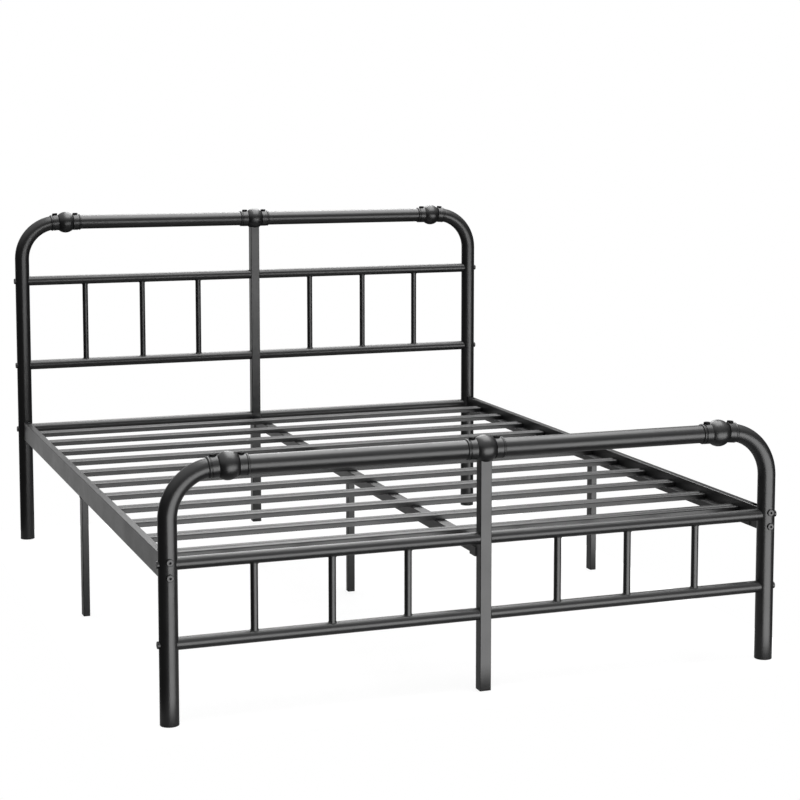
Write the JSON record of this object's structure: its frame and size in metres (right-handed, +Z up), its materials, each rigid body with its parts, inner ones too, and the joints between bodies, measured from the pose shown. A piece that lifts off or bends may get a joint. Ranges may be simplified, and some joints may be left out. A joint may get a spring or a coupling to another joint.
{
  "type": "metal bed frame",
  "caption": "Steel bed frame with bent round posts, ball connectors in the top rails, spindled head and foot boards, side rails and a slatted deck.",
  "frame": {"origin": "on the floor under the middle of the bed", "axes": "+Z up, +Y from the footboard to the headboard, +X to the right seen from the foot end"},
  "size_m": [1.6606, 2.154, 1.1027],
  "materials": {
    "powder_coat": "satin powder coat, near black",
    "cast_coat": "glossier powder coat over a casting",
    "black_bolt": "black oxide",
    "zinc_steel": "zinc plated",
    "cap_plastic": "matte moulded"
  },
  "bodies": {
    "root": {"centre_leg": "powder_coat", "centre_rail": "powder_coat", "centre_rail_cradles": "powder_coat", "centre_studs": "zinc_steel", "connector_bolts": "black_bolt", "footboard_centre_connector": "cast_coat", "footboard_centre_post": "powder_coat", "footboard_left_connector": "cast_coat", "footboard_left_lower_rail": "powder_coat", "footboard_left_post": "powder_coat", "footboard_left_spindles": "powder_coat", "footboard_left_top_rail": "powder_coat", "footboard_left_upper_rail": "powder_coat", "footboard_right_connector": "cast_coat", "footboard_right_lower_rail": "powder_coat", "footboard_right_post": "powder_coat", "footboard_right_spindles": "powder_coat", "footboard_right_top_rail": "powder_coat", "footboard_right_upper_rail": "powder_coat", "headboard_centre_connector": "cast_coat", "headboard_centre_post": "powder_coat", "headboard_left_connector": "cast_coat", "headboard_left_deck_rail": "powder_coat", "headboard_left_lower_rail": "powder_coat", "headboard_left_mid_rail": "powder_coat", "headboard_left_post": "powder_coat", "headboard_left_spindles": "powder_coat", "headboard_left_top_rail": "powder_coat", "headboard_right_connector": "cast_coat", "headboard_right_deck_rail": "powder_coat", "headboard_right_lower_rail": "powder_coat", "headboard_right_mid_rail": "powder_coat", "headboard_right_post": "powder_coat", "headboard_right_spindles": "powder_coat", "headboard_right_top_rail": "powder_coat", "left_side_leg": "powder_coat", "left_side_rail": "powder_coat", "left_slat_ledge": "powder_coat", "post_bolts": "black_bolt", "post_foot_caps": "cap_plastic", "rail_end_nuts": "zinc_steel", "right_side_leg": "powder_coat", "right_side_rail": "powder_coat", "right_slat_ledge": "powder_coat", "saddle_washers": "black_bolt", "side_rail_nut_plates": "zinc_steel", "slat_01": "powder_coat", "slat_02": "powder_coat", "slat_03": "powder_coat", "slat_04": "powder_coat", "slat_05": "powder_coat", "slat_06": "powder_coat", "slat_07": "powder_coat", "slat_08": "powder_coat", "slat_09": "powder_coat", "slat_10": "powder_coat", "slat_11": "powder_coat", "slat_bolts": "zinc_steel", "slat_nuts": "zinc_steel", "square_foot_caps": "cap_plastic"}
  },
  "joints": []
}
